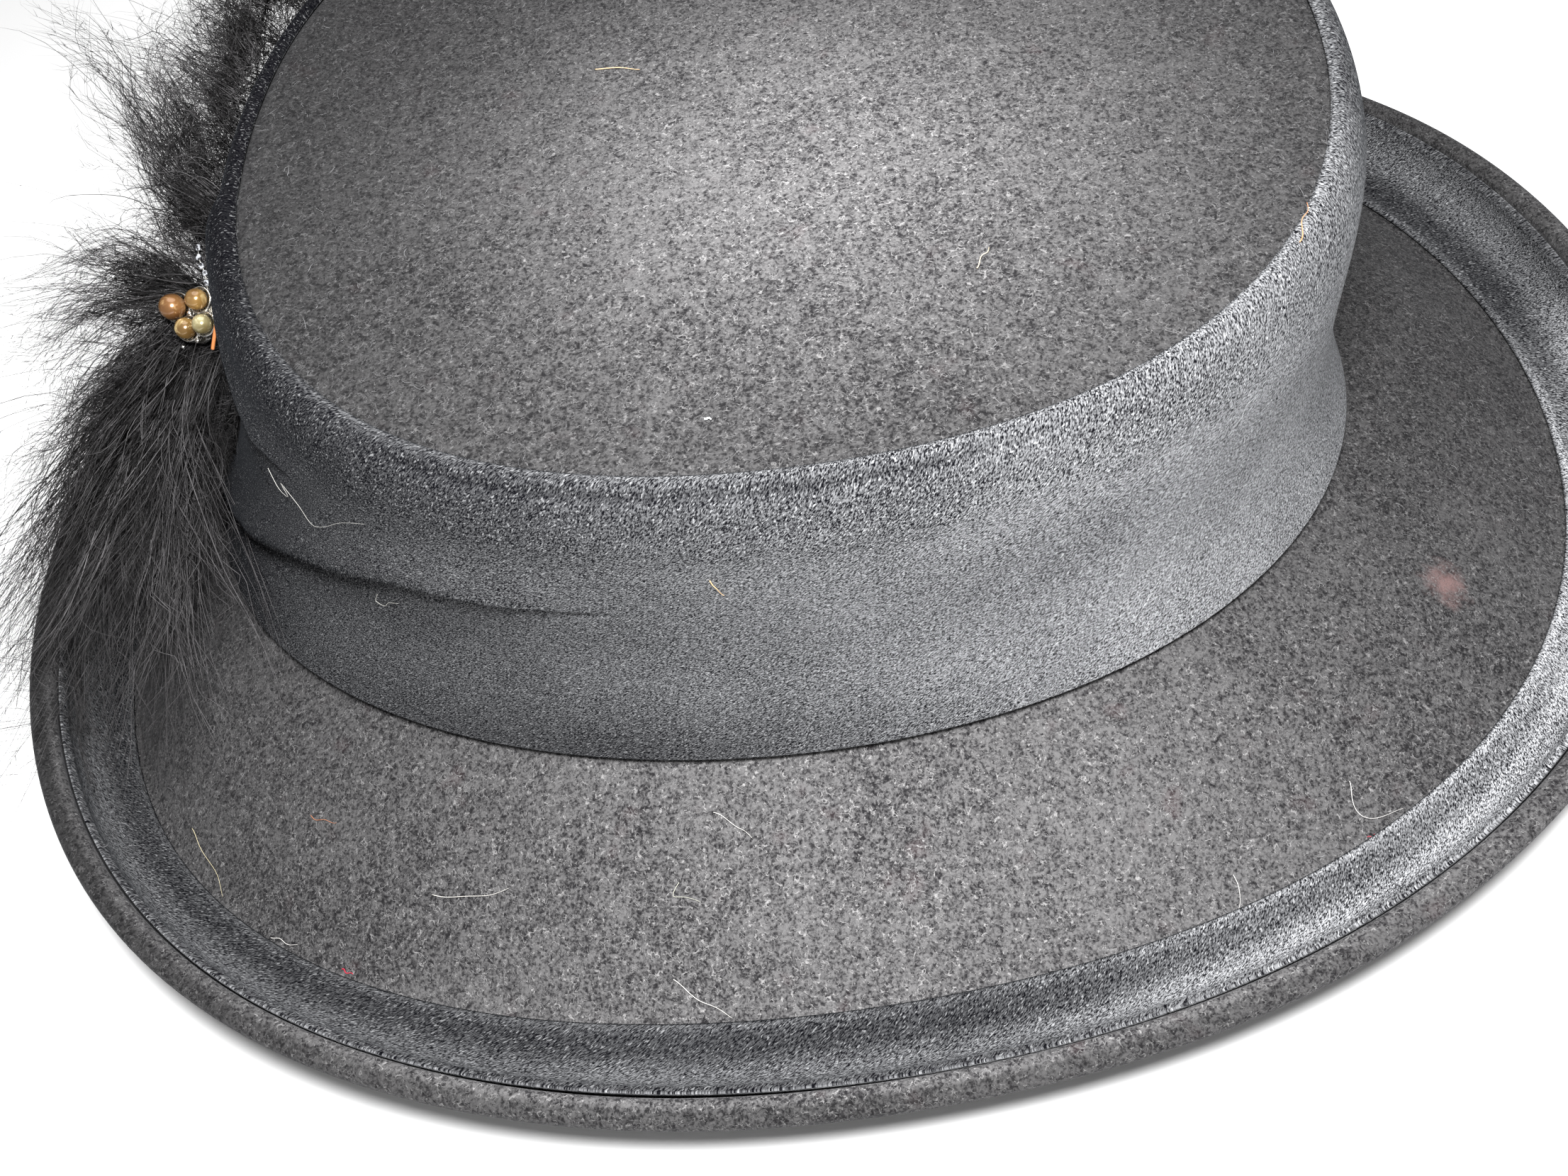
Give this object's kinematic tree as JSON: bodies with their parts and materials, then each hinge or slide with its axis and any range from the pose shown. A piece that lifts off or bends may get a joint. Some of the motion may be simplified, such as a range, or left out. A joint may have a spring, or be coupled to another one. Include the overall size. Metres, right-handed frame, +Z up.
{
  "type": "flat crown felt hat",
  "caption": "Felt hat with a flat crown, a curled brim, a velvet band and binding, and a feather plume pinned by a small beaded brooch.",
  "frame": {"origin": "on the surface the hat rests on, under the middle of the box round the whole hat", "axes": "+X along the longer way of the oval from the plume to the bare end, +Y across the hat, +Z up through the crown"},
  "size_m": [0.2882, 0.2636, 0.097],
  "materials": {
    "felt": "brushed wool felt, charcoal with pale fibre ends",
    "velvet_band": "blue-black velvet pile",
    "velvet_binding": "blue-black velvet pile",
    "plume": "soft black marabou barbs",
    "brooch_metal": "bright silver-coloured metal",
    "brooch_stones": "clear cut stones on a fine wire",
    "bead": "glossy bronze pearl lacquer"
  },
  "bodies": {
    "root": {"felt_hood": "felt", "hat_band": "velvet_band", "brim_binding": "velvet_binding", "plume_upper": "plume", "plume_lower": "plume", "brooch_setting": "brooch_metal", "sparkle_strand": "brooch_stones", "bead_1": "bead", "bead_2": "bead", "bead_3": "bead", "bead_4": "bead"}
  },
  "joints": []
}
